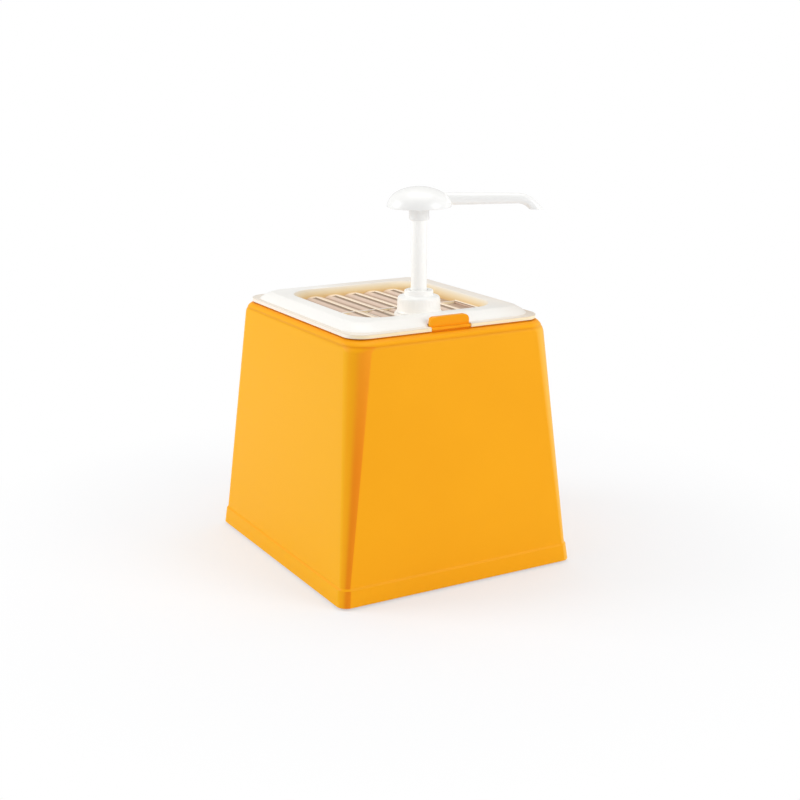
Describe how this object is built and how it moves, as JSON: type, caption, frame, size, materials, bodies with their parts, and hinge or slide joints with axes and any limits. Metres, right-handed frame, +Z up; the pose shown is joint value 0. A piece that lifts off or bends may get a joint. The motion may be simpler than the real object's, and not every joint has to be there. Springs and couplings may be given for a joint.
{
  "type": "condiment pump dispenser",
  "caption": "Counter-top sauce dispenser: a tapered housing with a drop-in food pan, a clip-on ribbed lid and a push pump with a dome head and a long bent spout.",
  "frame": {"origin": "on the floor under the middle of the housing", "axes": "+Z up, -Y towards the front where the snap tab is, +X to the right seen from the front"},
  "size_m": [0.2154, 0.235, 0.31],
  "materials": {
    "housing": "glossy moulded orange plastic",
    "rubber": "matt black rubber",
    "pan": "off-white moulded plastic",
    "lid": "milky white plastic",
    "seal": "soft grey silicone",
    "pump": "white moulded plastic",
    "inner": "natural moulded plastic",
    "black_seal": "black rubber",
    "steel": "polished stainless steel"
  },
  "bodies": {
    "base": {"housing": "housing", "foot_front_left": "rubber", "foot_front_right": "rubber", "foot_rear_left": "rubber", "foot_rear_right": "rubber"},
    "pan": {"food_pan": "pan"},
    "lid": {"lid": "lid", "lid_seal": "seal", "cylinder_gasket": "seal", "pump_cylinder": "inner", "stem_guide": "inner", "stem_wiper": "seal", "valve_retainer": "inner", "dip_tube": "inner", "return_spring": "steel"},
    "collar": {"closure_collar": "pump"},
    "plunger": {"piston": "inner", "upper_piston_seal": "black_seal", "lower_piston_seal": "black_seal"},
    "head": {"piston_stem": "pump", "pump_head": "pump"},
    "foot_ball": {"foot_valve_ball": "steel"},
    "top_ball": {"discharge_ball": "steel"}
  },
  "joints": [
    {"name": "pan_lift", "type": "slide", "parent": "base", "child": "pan", "axis": [0, 0, 1], "range_m": [0, 0.16]},
    {"name": "lid_lift", "type": "slide", "parent": "pan", "child": "lid", "axis": [0, 0, 1], "range_m": [0, 0.155]},
    {"name": "collar_turn", "type": "hinge", "parent": "lid", "child": "collar", "pos_m": [0, -0.048, 0.215], "axis": [0, 0, 1], "continuous": true},
    {"name": "plunger_stroke", "type": "slide", "parent": "lid", "child": "plunger", "axis": [0, 0, -1], "range_m": [0, 0.052], "stiffness_N_per_m": 220, "springref_m": -0.04, "deforming": ["return_spring"]},
    {"name": "head_swivel", "type": "hinge", "parent": "plunger", "child": "head", "pos_m": [0, -0.048, 0.25], "axis": [0, 0, 1], "continuous": true},
    {"name": "foot_valve_lift", "type": "slide", "parent": "lid", "child": "foot_ball", "axis": [0, 0, 1], "range_m": [0, 0.0025]},
    {"name": "discharge_valve_lift", "type": "slide", "parent": "head", "child": "top_ball", "axis": [0, 0, 1], "range_m": [0, 0.0015]}
  ]
}
